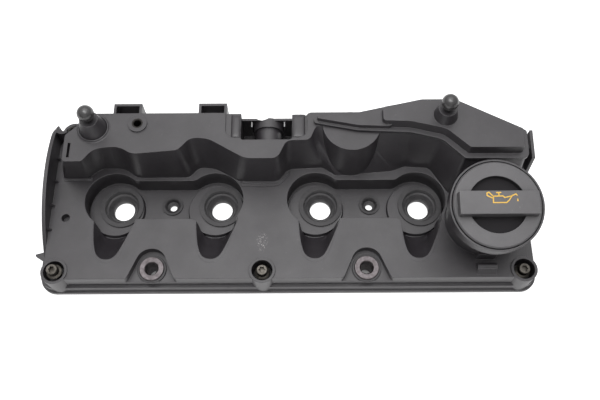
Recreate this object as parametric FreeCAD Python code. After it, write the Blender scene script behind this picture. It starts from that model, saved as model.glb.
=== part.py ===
import FreeCAD, Part
import math
import os

# Valve cover of a four-cylinder engine, in millimetres.
# The origin is the axis of the first injector bore in the gasket plane.
# +X runs along the injector row towards the oil filler, +Y to the back, +Z up.

# Engine pitch and the injector row
CYLINDERS = 4
CYLINDER_PITCH = 88.0
INJECTOR_BORE_R = 9.3

# General wall of the moulding and the small gaps between pieces
WALL = 3.0
THIN_WALL = 2.2
FIT = 0.05
SOFT_GAP = 0.3

# Flange that meets the cylinder head
FLANGE_LEFT = -66.0
FLANGE_RIGHT = 361.0
FLANGE_FRONT = -76.0
FLANGE_BACK = 80.0
FLANGE_CORNER_R = 14.0
FLANGE_LIP_TOP = 4.0
FLANGE_TOP = 12.0
FLANGE_STEP = 1.6
FLANGE_DRAFT = 0.4
GROOVE_LOW = 13.2
GROOVE_HEIGHT = 1.8
GROOVE_DEPTH = 1.2

# Lower deck
DECK_TOP = 28.0
DECK_LEFT = -58.0
DECK_RIGHT = 350.0
DECK_FRONT = -72.0
DECK_BACK = 63.0
DECK_CORNER_R = 12.0
DECK_DRAFT = 0.8

# Upper deck over the camshaft at the back
UPPER_TOP = 72.0
UPPER_BACK = 61.5

# Wells round the injectors
WELL_FLOOR = 8.0
WELL_R = 25.0
WELL_SHIFT_X = -4.3
WELL_SHIFT_Y = 0.9
WELL_CORNER_R = 8.0
BRIDGE_FRONT = -17.2
BRIDGE_BACK = 18.7
SCOOP_FRONT = -54.2
SCOOP_FLOOR_FRONT = -33.0

# Injector bosses and seals
BOSS_TOP = 12.0
BOSS_R = 25.0
BOSS_SHIFT_X = -4.5
BOSS_SHIFT_Y = -2.5
BOSS_TAPER = 1.0
SKIRT_R = 20.5
SEAL_SEAT_R = 17.4
SEAL_RIM_R = 19.0
SEAL_RIM_HEIGHT = 1.6
SEAL_MOUTH_R = 15.2
SEAL_STEP_R = 12.4
SEAL_STEP_DEPTH = 3.4
SEAL_LIP_HEIGHT = 4.0

# Seals of the two clamp bolts between the injectors
CLAMP_Y = 3.0
CLAMP_SEAT_R = 7.6
CLAMP_RIM_R = 9.2
CLAMP_RIM_HEIGHT = 1.4
CLAMP_BORE_R = 3.3
CLAMP_MOUTH_R = 6.2
CLAMP_SKIRT_R = 11.0

# Captive bolts, with a sleeve in a rubber bush, in columns at the flange
BOLT_X = (-47.5, 126.0, 344.5)
BOLT_FRONT_Y = -64.5
BOLT_BACK_Y = 68.5
COLUMN_R = 11.0
COLUMN_TOP_FRONT = 29.5
COLUMN_TOP_BACK = 24.0
BORE_R = 8.8
BORE_SEAT = 11.5
BUSH_BORE_R = 6.8
BUSH_LOW = 4.0
BUSH_FLANGE_R = 8.2
BUSH_FLANGE_HEIGHT = 2.0
SLEEVE_R = 4.6
SLEEVE_BORE_R = 3.4
SLEEVE_STAND = 0.6
SHANK_R = 3.0
BOLT_HEAD_R = 4.6
BOLT_HEAD_HEIGHT = 6.0
BOLT_FLANGE_R = 6.4
BOLT_FLANGE_HEIGHT = 1.6
BOLT_SOCKET_R = 2.9
BOLT_SOCKET_DEPTH = 3.2
BOLT_LIFT_LEFT = 13.5
BOLT_LIFT = 9.0

# Large flanged sleeves in the two alcoves of the front edge
ALCOVE_X = (32.5, 214.0)
ALCOVE_Y = -60.5
ALCOVE_FLOOR = 20.0
ALCOVE_TOP_Y = -44.5
ALCOVE_HALF_TOP = 8.5
ALCOVE_HALF_FRONT = 20.5
ALCOVE_CORNER_R = 12.5
ALCOVE_FLARE = 9.0
ALCOVE_FLARE_R = 8.0
ALCOVE_COLUMN_R = 15.5
BIG_BUSH_R = 12.3
BIG_BUSH_BORE_R = 9.2
BIG_BUSH_FLANGE = 1.6
BIG_BUSH_LOW = 6.0
BIG_SLEEVE_R = 7.4
BIG_SLEEVE_FLANGE_R = 10.5
BIG_SLEEVE_FLANGE = 1.6
BIG_SLEEVE_BORE_R = 5.3

# Arched rim at the timing end
RIM_X = -60.0
RIM_THICK = 3.0
RIM_TOP = 50.0
RIM_TOP_Y = 25.0
RIM_ARCH_R = 110.0
RIM_FRONT_Y = -58.0
RIM_BACK_Y = 70.0
RIM_CORNER_R = 14.0
RIM_RETURN = 17.0
RIM_PAD_R = 6.0
RIM_RIB_Y = (-28.0, -6.0, 17.0, 39.0)
RIM_RIB_THICK = 1.6
RIM_RIB_HEIGHT = 8.0

# Oil filler, leaning to the front
CAP_X = 312.5
CAP_Y = -30.0
CAP_Z = 85.0
CAP_LEAN = 9.0
CAP_R = 35.0
CAP_THICK = 8.0
CAP_EDGE = 1.2
CAP_RECESS_R = 23.2
CAP_RECESS_DEPTH = 6.0
GRIP_LENGTH = 63.5
GRIP_WIDTH = 20.0
GRIP_HEIGHT = 7.0
GRIP_TAPER = 0.8
COLLAR_GAP = 0.8
COLLAR_WALL = 1.4
COLLAR_BELOW = 1.5
NECK_R = 30.0
NECK_LIP_R = 24.6
NECK_LIP_HEIGHT = 5.0
NECK_BORE_R = 27.4
CAP_SEAL_HEIGHT = 2.4
CAP_SEAL_IN_R = 26.0
CAP_SEAL_OUT_R = 30.0
CAP_BARREL_GAP = 0.6
CAP_BARREL_WALL = 2.2
CAP_BARREL_LENGTH = 16.0
LUG_ANGLE = 30.0
LUG_HEIGHT = 3.5
LUG_REACH = 2.6
LUG_GAP = 0.4

# Ball studs
STUD_LEFT = (-15.2, 46.8)
STUD_RIGHT = (279.0, 51.0)
STUD_BALL_R = 6.9
STUD_LEFT_Z = 97.0
STUD_RIGHT_Z = 104.0
STUD_NECK_R = 3.6
STUD_NECK_LENGTH = 3.0
STUD_SHANK_R = 3.0
STUD_SHANK_LENGTH = 9.0
TOWER_LEFT_BASE_R = 12.5
TOWER_LEFT_TOP_R = 7.6
TOWER_RIGHT_BASE_R = 10.5
TOWER_RIGHT_TOP_R = 7.6

# Oil separator hood, welded on the upper deck
HOOD_LIP = 3.0
HOOD_TOP = 84.0
HOOD_LOW_TOP = 79.0
HOOD_WALL = 2.5
HOOD_DRAFT = 1.4
WINDOW_INSET = 6.5
BAFFLE_THICK = 2.0
BAFFLE_GAP = 0.5
BAFFLE_SLOTS = 6
BAFFLE_SLOT_WIDTH = 3.0
BAFFLE_SLOT_LENGTH = 16.0
BAFFLE_SLOT_PITCH = 9.0

# Round chamber with the pressure valve
VALVE_X = 202.0
VALVE_Y = 50.0
VALVE_R = 24.5
VALVE_FOOT_R = 28.0
VALVE_BORE_R = 20.0
VALVE_TUBE_BOTTOM = 38.0
VALVE_CASE_WALL = 3.6
VALVE_CUP_WALL = 2.0
VALVE_CUP_FLOOR = 2.0
VALVE_LEDGE = 58.0
DIAPHRAGM_THICK = 1.2
DIAPHRAGM_DROP = 3.0
PLATE_R = 9.0
PLATE_THICK = 2.0
OUTLET_R = 5.0
OUTLET_WALL = 1.5
VALVE_TRAVEL = 2.5
SPRING_WIRE_R = 0.6
SPRING_R = 7.8
SPRING_TURNS = 4.0
SPRING_WIRE_SIDES = 8

# Breather outlet in its notch of the back edge
PORT_X = 131.0
PORT_TOP = 63.0
PORT_COLLAR_R = 13.2
PORT_COLLAR_LENGTH = 8.5
PORT_PIPE_R = 11.0
PORT_BORE_R = 9.0
NOTCH_LEFT = PORT_X - 22.5
NOTCH_RIGHT = PORT_X + 20.5
NOTCH_FRONT = 35.6
NOTCH_FLOOR = 34.0
NOTCH_CORNER_R = 2.0
NOTCH_FLARE = 16.0
NOTCH_FLARE_DEPTH = 7.0
STEP_WIDTH = 13.0
STEP_DEPTH = 1.8
STEP_CORNER_R = 8.0
WEB_THICK = 2.0
WEB_END = 4.0
CLIP_THICK = 1.0
CLIP_WIDTH = 5.0
CLIP_SETBACK = 1.0
CLIP_LEG = 11.0

# Loops on the back wall
LOOP_X = (11.5, 84.0)
LOOP_WIDTH = 24.0
LOOP_REACH = 10.5
LOOP_WALL = 2.2
LOOP_LOW = 50.0
LOOP_HIGH = 70.0

# Small features of the decks
INSERT_X = 21.5
INSERT_Y = 51.0
INSERT_BOSS_R = 8.0
INSERT_BOSS_HEIGHT = 1.6
INSERT_R = 4.6
INSERT_BORE_R = 3.0
INSERT_LENGTH = 12.0
BLIND_X = -44.0
BLIND_Y = -16.0
BLIND_R = 3.6
BLIND_DEPTH = 7.0
SLOT_X = -34.0
SLOT_FRONT = 20.0
SLOT_BACK = 33.5
SLOT_WIDTH = 2.2
SLOT_DEPTH = 6.0
LUG_TIP_X = -70.0
LUG_Y = -47.0
LUG_Z = 13.0

# Cable clip in front of the filler and the bracket at the right end
CABLE_X = 313.0
CABLE_WIDTH = 16.0
CABLE_BACK = -53.0
CABLE_BAR_Y = -63.0
CABLE_BAR_R = 2.8
CABLE_TOP = 40.0
BRACKET_X = 356.5
BRACKET_THICK = 2.6
BRACKET_FRONT = 24.0
BRACKET_BACK = 52.0
BRACKET_TOP = 56.0

# Perimeter gasket in its groove
GASKET_INSET = 2.4
GASKET_WIDTH = 3.6
GASKET_DEPTH = 3.0
GASKET_STAND = 0.8
GASKET_GAP = 0.2
RAIL_WIDTH = 10.5
RAIL_HEIGHT = 7.0


def vector(x, y, z):
    return FreeCAD.Vector(x, y, z)


def outline(corners, z):
    """Closed wire through corners (x, y, radius), each corner an arc of its radius."""
    starts = []
    ends = []
    middles = []
    count = len(corners)
    for i in range(count):
        x, y, radius = corners[i]
        here = vector(x, y, z)
        before = vector(corners[i - 1][0], corners[i - 1][1], z) - here
        after = vector(corners[(i + 1) % count][0], corners[(i + 1) % count][1], z) - here
        before.normalize()
        after.normalize()
        half = before.getAngle(after) / 2.0
        if radius <= 0.0 or half > math.pi / 2.0 - 0.001:
            starts.append(here)
            ends.append(here)
            middles.append(None)
            continue
        back = radius / math.tan(half)
        bisector = (before + after).normalize()
        starts.append(here + before * back)
        ends.append(here + after * back)
        middles.append(here + bisector * (radius / math.sin(half) - radius))
    edges = []
    for i in range(count):
        if middles[i] is not None:
            edges.append(Part.Arc(starts[i], middles[i], ends[i]).toShape())
        following = starts[(i + 1) % count]
        if (following - ends[i]).Length > 0.001:
            edges.append(Part.LineSegment(ends[i], following).toShape())
    return Part.Wire(edges)


def inset(corners, distance):
    """The same anticlockwise outline moved inwards by a distance, outwards if negative."""
    moved = []
    count = len(corners)
    for i in range(count):
        here = vector(corners[i][0], corners[i][1], 0)
        before = vector(corners[i - 1][0], corners[i - 1][1], 0)
        after = vector(corners[(i + 1) % count][0], corners[(i + 1) % count][1], 0)
        incoming = (here - before).normalize()
        outgoing = (after - here).normalize()
        normal_in = vector(-incoming.y, incoming.x, 0)
        normal_out = vector(-outgoing.y, outgoing.x, 0)
        bisector = normal_in + normal_out
        reach = distance * 2.0 / (bisector.Length ** 2)
        place = here + bisector * reach
        turn = incoming.x * outgoing.y - incoming.y * outgoing.x
        radius = corners[i][2]
        if radius > 0.0:
            change = -distance if turn > 0 else distance
            radius = max(radius + change, 0.4)
        moved.append((place.x, place.y, radius))
    return moved


def prism(corners, low, high):
    face = Part.Face(outline(corners, low))
    return face.extrude(vector(0, 0, high - low))


def drafted(corners, low, high, lean):
    """A block whose walls lean inwards by a distance from low to high."""
    wires = [outline(corners, low), outline(inset(corners, lean), high)]
    return Part.makeLoft(wires, True, True)


def disc(x, y, low, high, radius):
    return Part.makeCylinder(radius, high - low, vector(x, y, low))


def box(x0, x1, y0, y1, z0, z1):
    return Part.makeBox(x1 - x0, y1 - y0, z1 - z0, vector(x0, y0, z0))


def turned(profile, x, y):
    """Solid of revolution about the vertical line through x, y from points (radius, z)."""
    points = [vector(x + radius, y, z) for radius, z in profile]
    points.append(points[0])
    face = Part.Face(Part.makePolygon(points))
    return face.revolve(vector(x, y, 0), vector(0, 0, 1), 360)


def joined(shapes):
    shape = shapes[0]
    if len(shapes) > 1:
        shape = shape.fuse(shapes[1:])
    return shape.removeSplitter()


def without(shape, tools):
    return shape.cut(tools)


def leaned(shape):
    """Turn a piece made upright at the filler into the filler's leaning axis."""
    copy = shape.copy()
    copy.rotate(vector(CAP_X, CAP_Y, CAP_Z), vector(1, 0, 0), CAP_LEAN)
    return copy


def injector_places():
    return [i * CYLINDER_PITCH for i in range(CYLINDERS)]


def clamp_places():
    return [CYLINDER_PITCH / 2.0, CYLINDER_PITCH * 2.5]


def flange_corners():
    return [(FLANGE_LEFT, FLANGE_FRONT, FLANGE_CORNER_R), (FLANGE_RIGHT, FLANGE_FRONT, FLANGE_CORNER_R),
            (FLANGE_RIGHT, FLANGE_BACK, FLANGE_CORNER_R), (FLANGE_LEFT, FLANGE_BACK, FLANGE_CORNER_R)]


def deck_corners():
    return [(DECK_LEFT, DECK_FRONT, DECK_CORNER_R), (DECK_RIGHT, DECK_FRONT, DECK_CORNER_R),
            (DECK_RIGHT, DECK_BACK, DECK_CORNER_R), (DECK_LEFT, DECK_BACK, DECK_CORNER_R)]


def pitched(corners):
    """Outline corners, drawn for a pitch of 88, brought to the pitch of the engine."""
    scale = CYLINDER_PITCH / 88.0
    return [(x * scale, y * scale, radius * scale) for x, y, radius in corners]


def raised_corners():
    """Corners of the raised back part, anticlockwise from its left front corner.

    Each has its place at the foot on the deck, its place at the top edge and its radius.
    """
    front = [((-50.5, 21.1), (-38.5, 16.3), 3.0), ((-29.0, 21.1), (-22.3, 16.3), 3.0),
             ((-18.0, 31.0), (-13.0, 28.2), 14.0), ((4.0, 31.0), (7.5, 30.0), 20.0),
             ((14.5, 21.7), (18.5, 22.8), 14.0), ((61.0, 21.9), (56.5, 26.3), 8.0),
             ((69.0, 32.0), (66.5, 37.8), 10.0), ((84.0, 30.0), (81.0, 37.2), 25.0),
             ((106.0, 17.2), (112.5, 18.3), 20.0), ((139.0, 17.1), (139.5, 18.3), 8.0),
             ((148.5, 29.5), (147.0, 34.8), 7.0), ((178.0, 31.0), (166.5, 35.4), 6.0)]
    under_hood = [((190.0, 22.6), (172.5, 50.0), 6.0), ((240.0, 27.2), (208.0, 43.0), 8.0),
                  ((250.0, 31.4), (250.0, 41.0), 8.0), ((272.0, 30.0), (275.0, 34.5), 8.0),
                  ((288.0, 4.0), (293.5, 17.2), 4.0), ((344.0, 4.0), (345.0, 17.2), 4.0)]
    back = [((347.0, 41.0), (346.0, 41.0), 3.0), ((289.0, 71.0), (289.0, 70.0), 8.0),
            ((262.0, 71.0), (262.0, 70.0), 12.0), ((228.0, UPPER_BACK), (228.0, UPPER_BACK), 10.0),
            ((-17.0, UPPER_BACK), (-17.0, UPPER_BACK), 3.0), ((-50.5, 41.0), (-38.5, 41.0), 4.0)]
    return front + under_hood + back


def foot_corners():
    return pitched([(foot[0], foot[1], radius) for foot, top, radius in raised_corners()])


def upper_corners():
    return pitched([(top[0], top[1], radius) for foot, top, radius in raised_corners()])


def raised_block(wall):
    """The raised back part from deck to top edge, moved inwards by a wall."""
    wires = [outline(inset(foot_corners(), wall), DECK_TOP), outline(inset(upper_corners(), wall), UPPER_TOP)]
    return Part.makeLoft(wires, True, True)


def hood_corners():
    """Edge of the hood's lip, anticlockwise from its left end."""
    corners = [(170.0, 49.8, 3.0), (207.0, 42.3, 30.0), (250.0, 40.4, 25.0), (276.0, 34.0, 16.0),
             (294.0, 15.7, 5.0), (346.3, 15.7, 5.0), (347.3, 41.2, 3.0), (289.5, 72.0, 8.0),
             (262.0, 72.0, 14.0), (205.0, 59.0, 25.0), (170.0, 56.5, 3.0)]
    return pitched(corners)


def dome_corners():
    """Edge of the hood's high part, where it rises from the lip."""
    corners = [(226.0, 45.2, 4.0), (250.0, 44.4, 21.0), (278.0, 37.5, 14.0), (296.5, 19.8, 5.0),
             (342.3, 19.8, 4.0), (343.0, 39.0, 3.0), (288.5, 67.8, 7.0), (262.0, 67.8, 13.0),
             (226.0, 60.4, 4.0)]
    return pitched(corners)


def low_dome_corners():
    """Edge of the hood's low left part."""
    corners = [(172.5, 51.3, 1.5), (207.0, 44.4, 28.0), (236.0, 43.2, 4.0), (236.0, 62.0, 4.0),
             (205.0, 57.2, 23.0), (172.5, 55.2, 1.5)]
    return pitched(corners)


def scoop_corners():
    """Edge of a scoop on the deck, from its injector, anticlockwise from its left back end."""
    return [(-20.0, -5.0, 0.0), (-18.6, -34.0, 16.0), (-15.2, SCOOP_FRONT, 10.0), (1.6, SCOOP_FRONT, 9.0),
            (16.0, -20.0, 3.0), (16.0, -5.0, 0.0)]


def scoop_floor_corners():
    """Edge of a scoop's flat floor, in the order of its edge on the deck."""
    return [(-17.0, -5.0, 0.0), (-15.0, -25.0, 6.0), (-12.0, SCOOP_FLOOR_FRONT, 4.0),
            (-1.0, SCOOP_FLOOR_FRONT, 4.0), (10.0, -20.0, 3.0), (10.0, -5.0, 0.0)]


def scoop_solids(growth):
    """The bowls in front of the wells, whose walls lean out from the floor to the deck."""
    low = outline(inset(scoop_floor_corners(), -growth), WELL_FLOOR - growth)
    high = outline(inset(scoop_corners(), -growth), DECK_TOP)
    bowl = Part.makeLoft([low, high], True, True)
    solids = []
    for x in injector_places():
        place = bowl.copy()
        place.translate(vector(x, 0, 0))
        solids.append(place)
    return solids


def well_faces(z):
    """Plan of the wells: rounds about the injectors, throats of the scoops and the bridges."""
    blocks = []
    for x in injector_places():
        blocks.append(disc(x + WELL_SHIFT_X, WELL_SHIFT_Y, z - 1.0, z, WELL_R))
        throat = [(-17.5, -5.0, 0.0), (-17.5, -25.0, 4.0), (11.0, -25.0, 4.0), (13.5, -5.0, 0.0)]
        block = prism(throat, z - 1.0, z)
        block.translate(vector(x, 0, 0))
        blocks.append(block)
    for x in (0.0, 2.0 * CYLINDER_PITCH):
        blocks.append(box(x, x + CYLINDER_PITCH, BRIDGE_FRONT, BRIDGE_BACK, z - 1.0, z))
    faces = []
    for face in joined(blocks).Faces:
        if face.BoundBox.ZMin > z - 0.001:
            grown = face.makeOffset2D(WELL_CORNER_R)
            faces.extend(grown.makeOffset2D(-WELL_CORNER_R).Faces)
    return faces


def well_solids(low, high, growth):
    solids = []
    for face in well_faces(low):
        if growth > 0.0:
            face = face.makeOffset2D(growth)
        for part_face in face.Faces:
            solids.append(part_face.extrude(vector(0, 0, high - low)))
    return solids


def alcove_corners(x):
    """Plan of an alcove: a rounded head, slanted sides and rounded flares at the front wall."""
    front = FLANGE_FRONT - 5.0
    wall_y = DECK_FRONT - 0.5
    wide = ALCOVE_HALF_FRONT + ALCOVE_FLARE
    return [(x - wide, front, 0.0), (x + wide, front, 0.0), (x + wide, wall_y, 0.0),
            (x + ALCOVE_HALF_FRONT, wall_y, ALCOVE_FLARE_R), (x + ALCOVE_HALF_TOP, ALCOVE_TOP_Y, ALCOVE_CORNER_R),
            (x - ALCOVE_HALF_TOP, ALCOVE_TOP_Y, ALCOVE_CORNER_R), (x - ALCOVE_HALF_FRONT, wall_y, ALCOVE_FLARE_R),
            (x - wide, wall_y, 0.0)]


def bolt_places():
    """Each captive bolt: name, x, y, top of its column and lift above its seat."""
    names = ("left", "middle", "right")
    places = []
    for name, x in zip(names, BOLT_X):
        lift = BOLT_LIFT_LEFT if name == "left" else BOLT_LIFT
        places.append(("front_" + name, x, BOLT_FRONT_Y, COLUMN_TOP_FRONT, lift))
    for name, x in zip(names, BOLT_X):
        places.append(("back_" + name, x, BOLT_BACK_Y, COLUMN_TOP_BACK, BOLT_LIFT))
    return places


def outer_mass():
    """Flange, decks and raised back part as one solid block."""
    flange = flange_corners()
    shapes = [prism(flange, 0.0, FLANGE_LIP_TOP),
              drafted(inset(flange, FLANGE_STEP), FLANGE_LIP_TOP, FLANGE_TOP, FLANGE_DRAFT),
              drafted(deck_corners(), 0.0, DECK_TOP, DECK_DRAFT),
              prism(foot_corners(), FLANGE_LIP_TOP, DECK_TOP), raised_block(0.0)]
    return joined(shapes)


def front_groove():
    """Long groove low in the front wall, between the corner rounds."""
    return box(DECK_LEFT + DECK_CORNER_R, DECK_RIGHT - DECK_CORNER_R, DECK_FRONT - 1.0,
               DECK_FRONT + DECK_DRAFT + GROOVE_DEPTH, GROOVE_LOW, GROOVE_LOW + GROOVE_HEIGHT)


def valve_bulge(wall, low, high):
    """Round chamber wall in front of the hood, flat at the back wall."""
    cone = Part.makeCone(VALVE_FOOT_R - wall, VALVE_R - wall, UPPER_TOP - FLANGE_TOP,
                         vector(VALVE_X, VALVE_Y, FLANGE_TOP))
    reach = VALVE_FOOT_R + 1.0
    return cone.common(box(VALVE_X - reach, VALVE_X + reach, VALVE_Y - reach, UPPER_BACK - wall, low, high))


def inner_space():
    """Room below the decks for the valve gear, one wall inside the outer mass."""
    mouth = prism(inset(flange_corners(), RAIL_WIDTH), -1.0, RAIL_HEIGHT)
    lower = prism(inset(deck_corners(), WALL + DECK_DRAFT), RAIL_HEIGHT - 1.0, DECK_TOP - WALL)
    foot = prism(inset(foot_corners(), WALL), RAIL_HEIGHT - 1.0, DECK_TOP)
    below_roof = prism(inset(flange_corners(), WALL), DECK_TOP - WALL, UPPER_TOP - WALL)
    upper = raised_block(WALL).common(below_roof)
    valve = valve_bulge(WALL, DECK_TOP - 2.0 * WALL, VALVE_TUBE_BOTTOM)
    return joined([mouth, lower, foot, upper, valve])


def kept_casings():
    """Walls that stand in the inner room round wells, bolts, alcoves, notch and valve."""
    casings = well_solids(WELL_FLOOR - WALL, DECK_TOP, WALL) + scoop_solids(WALL)
    for x in injector_places():
        casings.append(disc(x, 0.0, 0.0, WELL_FLOOR, SKIRT_R))
    for x in clamp_places():
        casings.append(disc(x, CLAMP_Y, 0.0, WELL_FLOOR, CLAMP_SKIRT_R))
    for x in ALCOVE_X:
        casings.append(prism(inset(alcove_corners(x), -WALL), ALCOVE_FLOOR - WALL, DECK_TOP))
        casings.append(disc(x, ALCOVE_Y, 0.0, ALCOVE_FLOOR, ALCOVE_COLUMN_R))
    for name, x, y, top, lift in bolt_places():
        casings.append(disc(x, y, 0.0, DECK_TOP, COLUMN_R))
    casings.append(box(NOTCH_LEFT - WALL, NOTCH_RIGHT + WALL, NOTCH_FRONT - WALL, FLANGE_BACK,
                       NOTCH_FLOOR - WALL, UPPER_TOP))
    casings.append(box(NOTCH_RIGHT, NOTCH_RIGHT + NOTCH_FLARE + WALL, UPPER_BACK - NOTCH_FLARE_DEPTH - WALL,
                       FLANGE_BACK, NOTCH_FLOOR - WALL, UPPER_TOP))
    casings += notch_steps(UPPER_TOP - WALL - STEP_DEPTH, UPPER_TOP, 0.0)
    casings.append(disc(VALVE_X, VALVE_Y, VALVE_TUBE_BOTTOM, UPPER_TOP, VALVE_BORE_R + VALVE_CASE_WALL))
    casings.append(disc(BLIND_X, BLIND_Y, DECK_TOP - BLIND_DEPTH - THIN_WALL, DECK_TOP, BLIND_R + THIN_WALL))
    casings.append(slot_block(WALL, UPPER_TOP - SLOT_DEPTH - WALL, UPPER_TOP))
    return casings


def notch_void():
    """Notch of the back edge round the breather outlet, flared at its right back corner."""
    behind = FLANGE_BACK + 5.0
    flare_x = NOTCH_RIGHT + NOTCH_FLARE
    corners = [(NOTCH_LEFT, NOTCH_FRONT, NOTCH_CORNER_R), (NOTCH_RIGHT, NOTCH_FRONT, NOTCH_CORNER_R),
               (NOTCH_RIGHT, UPPER_BACK - NOTCH_FLARE_DEPTH, STEP_CORNER_R), (flare_x, UPPER_BACK, 0.0),
               (flare_x, behind, 0.0), (NOTCH_LEFT, behind, 0.0)]
    return prism(corners, NOTCH_FLOOR, UPPER_TOP + 1.0)


def notch_steps(low, high, growth):
    """Shallow steps of the upper deck at both sides of the notch."""
    front = NOTCH_FRONT + NOTCH_CORNER_R
    left = [(NOTCH_LEFT - STEP_WIDTH, front, STEP_CORNER_R), (NOTCH_LEFT + 1.0, front, 0.0),
            (NOTCH_LEFT + 1.0, UPPER_BACK + 1.0, 0.0), (NOTCH_LEFT - STEP_WIDTH, UPPER_BACK + 1.0, 0.0)]
    right = [(NOTCH_RIGHT - 1.0, front, 0.0), (NOTCH_RIGHT + STEP_WIDTH, front, STEP_CORNER_R),
             (NOTCH_RIGHT + STEP_WIDTH, UPPER_BACK + 1.0, 0.0), (NOTCH_RIGHT - 1.0, UPPER_BACK + 1.0, 0.0)]
    return [prism(inset(corners, -growth), low, high) for corners in (left, right)]


def port_axis_z():
    return PORT_TOP - PORT_COLLAR_R


def breather_outlet():
    """Pipe stub with its collar, along +Y out of the notch's front wall, with two ties."""
    z = port_axis_z()
    start = NOTCH_FRONT - 1.0
    end = UPPER_BACK
    along = vector(0, 1, 0)
    pipe = Part.makeCylinder(PORT_PIPE_R, end - start, vector(PORT_X, start, z), along)
    collar = Part.makeCylinder(PORT_COLLAR_R, PORT_COLLAR_LENGTH,
                               vector(PORT_X, end - PORT_COLLAR_LENGTH, z), along)
    foot = box(PORT_X - 4.0, PORT_X + 4.0, start, end - PORT_COLLAR_LENGTH - 0.5, NOTCH_FLOOR - 1.0, z)
    return joined([pipe, collar, foot])


def breather_bore():
    start = NOTCH_FRONT - WALL - 1.0
    length = UPPER_BACK - start + 1.0
    return Part.makeCylinder(PORT_BORE_R, length, vector(PORT_X, start, port_axis_z()), vector(0, 1, 0))


def notch_webs():
    """Two webs from the notch's sides to the collar, in line with the back wall."""
    top = port_axis_z() + PORT_COLLAR_R - 1.0
    low = NOTCH_FLOOR - 1.0
    front = UPPER_BACK - WEB_THICK
    left = box(NOTCH_LEFT - 1.0, PORT_X - WEB_END, front, UPPER_BACK, low, top)
    right = box(PORT_X + WEB_END, NOTCH_RIGHT + 1.0, front, UPPER_BACK, low, top)
    return [left, right]


def arched_rim():
    """Upright rim at the timing end: a plan that turns in at the back, cut to an arch."""
    inner = RIM_X + RIM_THICK
    plan = [(RIM_X, RIM_FRONT_Y, 1.0), (inner, RIM_FRONT_Y, 1.0),
            (inner, RIM_BACK_Y - RIM_THICK, RIM_CORNER_R - RIM_THICK),
            (RIM_X + RIM_RETURN, RIM_BACK_Y - RIM_THICK, 1.0), (RIM_X + RIM_RETURN, RIM_BACK_Y, 1.0),
            (RIM_X, RIM_BACK_Y, RIM_CORNER_R)]
    wall = prism(plan, FLANGE_LIP_TOP, RIM_TOP)
    pad_y = RIM_BACK_Y - RIM_PAD_R - 1.0
    pad = disc(RIM_X + RIM_PAD_R + 2.0, pad_y, FLANGE_LIP_TOP, RIM_TOP, RIM_PAD_R)
    arch = Part.makeCylinder(RIM_ARCH_R, 60.0, vector(RIM_X - 10.0, RIM_TOP_Y, RIM_TOP - RIM_ARCH_R),
                             vector(1, 0, 0))
    pieces = [joined([wall, pad]).common(arch)]
    for y in RIM_RIB_Y:
        corner = vector(inner - 0.5, y, DECK_TOP - 1.0)
        up = corner + vector(0, 0, RIM_RIB_HEIGHT)
        out = corner + vector(RIM_RIB_HEIGHT / 2.0, 0, 0)
        face = Part.Face(Part.makePolygon([corner, out, up, corner]))
        pieces.append(face.extrude(vector(0, RIM_RIB_THICK, 0)))
    return pieces


def back_loops():
    """U-shaped loops on the back wall, open above and below."""
    loops = []
    for x in LOOP_X:
        half = LOOP_WIDTH / 2.0
        loop = box(x - half, x + half, UPPER_BACK - 1.0, UPPER_BACK + LOOP_REACH, LOOP_LOW, LOOP_HIGH)
        hole = box(x - half + LOOP_WALL, x + half - LOOP_WALL, UPPER_BACK - 2.0,
                   UPPER_BACK + LOOP_REACH - LOOP_WALL, LOOP_LOW - 1.0, LOOP_HIGH + 1.0)
        loops.append(loop.cut(hole))
    return loops


def neck_outer():
    """Filler neck with the cup that surrounds the cap, down into the deck."""
    cup_r = CAP_R + COLLAR_GAP + COLLAR_WALL
    floor = cup_floor()
    depth = CAP_Z - DECK_TOP + 12.0
    profile = [(0.0, CAP_Z - depth), (NECK_R + 0.6, CAP_Z - depth), (NECK_R, floor - 12.0),
               (cup_r, floor - 3.0), (cup_r, CAP_Z - COLLAR_BELOW), (0.0, CAP_Z - COLLAR_BELOW)]
    neck = leaned(turned(profile, CAP_X, CAP_Y))
    return neck.common(box(CAP_X - 60, CAP_X + 60, CAP_Y - 60, CAP_Y + 70, DECK_TOP - WALL, CAP_Z + 20))


def cup_floor():
    return CAP_Z - CAP_THICK - CAP_SEAL_HEIGHT - SOFT_GAP


def neck_void():
    """Cup, bayonet lip and bore of the filler neck, down to the inner room."""
    floor = cup_floor()
    below = floor - NECK_LIP_HEIGHT
    end = CAP_Z - 75.0
    profile = [(0.0, end), (NECK_BORE_R, end), (NECK_BORE_R, below), (NECK_LIP_R, below),
               (NECK_LIP_R, floor), (CAP_R + COLLAR_GAP, floor), (CAP_R + COLLAR_GAP, CAP_Z + 1.0),
               (0.0, CAP_Z + 1.0)]
    bore = turned(profile, CAP_X, CAP_Y)
    slots = []
    for side in (90.0, 270.0):
        slot = lug_sector(side, below - 1.0, floor + 1.0, LUG_ANGLE + 8.0, LUG_REACH + LUG_GAP)
        slots.append(slot)
    return leaned(joined([bore] + slots))


def neck_cut_height():
    """Bore of the neck stays above the deck wall, so that it opens into the inner room."""
    return box(CAP_X - 60, CAP_X + 60, CAP_Y - 60, CAP_Y + 60, DECK_TOP - WALL - 0.5, CAP_Z + 20)


def lug_sector(side, low, high, angle, reach):
    """Sector of a ring about the filler axis, centred at an angle in the plan."""
    barrel = NECK_LIP_R - CAP_BARREL_GAP
    ring = Part.makeCylinder(barrel + reach, high - low, vector(CAP_X, CAP_Y, low), vector(0, 0, 1), angle)
    core = Part.makeCylinder(barrel - CAP_BARREL_WALL, high - low, vector(CAP_X, CAP_Y, low))
    sector = ring.cut(core)
    sector.rotate(vector(CAP_X, CAP_Y, 0), vector(0, 0, 1), side - angle / 2.0)
    return sector


def stud_tower(place, low, high, base_r, top_r):
    return Part.makeCone(base_r, top_r, high - low, vector(place[0], place[1], low))


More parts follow.
